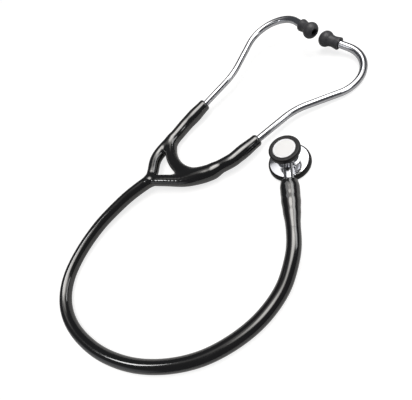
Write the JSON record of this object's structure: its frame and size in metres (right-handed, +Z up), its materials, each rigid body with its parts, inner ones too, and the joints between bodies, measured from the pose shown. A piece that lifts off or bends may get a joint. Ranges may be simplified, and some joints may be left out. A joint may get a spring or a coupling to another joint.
{
  "type": "stethoscope",
  "caption": "Dual-head acoustic stethoscope: chromed ear tubes with soft tips, sprung black moulded yoke and hose, and a chromed hourglass chest piece that swivels on its stem.",
  "frame": {"origin": "centre of the large diaphragm's contact face, which lies on the table", "axes": "+Z up, out of the small side of the chest piece; +X from the yoke towards the ear tips; +Y towards the left ear tube's side"},
  "size_m": [0.3635, 0.226, 0.0305],
  "materials": {
    "black_vinyl": "glossy moulded vinyl",
    "soft_grey": "soft matte silicone",
    "chrome": "polished chrome plate",
    "spring_steel": "plain spring steel",
    "seal_rubber": "matte",
    "rim_rubber": "satin",
    "clear_film": "satin film",
    "white_film": "satin film"
  },
  "bodies": {
    "tubing": {"yoke": "black_vinyl", "leaf_spring": "spring_steel", "hose": "black_vinyl", "hose_cuff": "black_vinyl", "stem": "chrome", "stem_seal": "seal_rubber", "stem_clip": "spring_steel", "detent_ball": "spring_steel", "detent_spring": "spring_steel"},
    "head": {"head_body": "chrome", "large_rim": "rim_rubber", "large_diaphragm": "clear_film", "small_rim": "rim_rubber", "small_diaphragm": "white_film"},
    "left_arm": {"left_socket": "black_vinyl"},
    "right_arm": {"right_socket": "black_vinyl"},
    "left_ear": {"left_ear_tube": "chrome", "left_nut": "chrome", "left_ear_tip": "soft_grey"},
    "right_ear": {"right_ear_tube": "chrome", "right_nut": "chrome", "right_ear_tip": "soft_grey"}
  },
  "joints": [
    {"name": "head_swivel", "type": "hinge", "parent": "tubing", "child": "head", "pos_m": [0, 0, 0.0118], "axis": [-0.606, -0.7955, 0], "continuous": true},
    {"name": "left_spread", "type": "hinge", "parent": "tubing", "child": "left_arm", "pos_m": [-0.0447, 0.1175, 0.0082], "axis": [0, 0, 1], "range_deg": [0, 15], "stiffness_Nm_per_rad": 1.5, "deforming": ["yoke"]},
    {"name": "right_spread", "type": "hinge", "parent": "tubing", "child": "right_arm", "pos_m": [-0.0384, 0.0408, 0.009], "axis": [0, 0, 1], "range_deg": [-15, 0], "stiffness_Nm_per_rad": 1.5, "deforming": ["yoke"]},
    {"name": "left_ear_twist", "type": "hinge", "parent": "left_arm", "child": "left_ear", "pos_m": [-0.0094, 0.1187, 0.011], "axis": [0.9949, -0.0069, 0.1011], "range_deg": [-20, 2]},
    {"name": "right_ear_twist", "type": "hinge", "parent": "right_arm", "child": "right_ear", "pos_m": [-0.0033, 0.0363, 0.0088], "axis": [0.9991, -0.0279, -0.0314], "range_deg": [-20, 2]}
  ],
  "couplings": [
    {"joint": "right_spread", "follows": "left_spread", "ratio": -1}
  ]
}
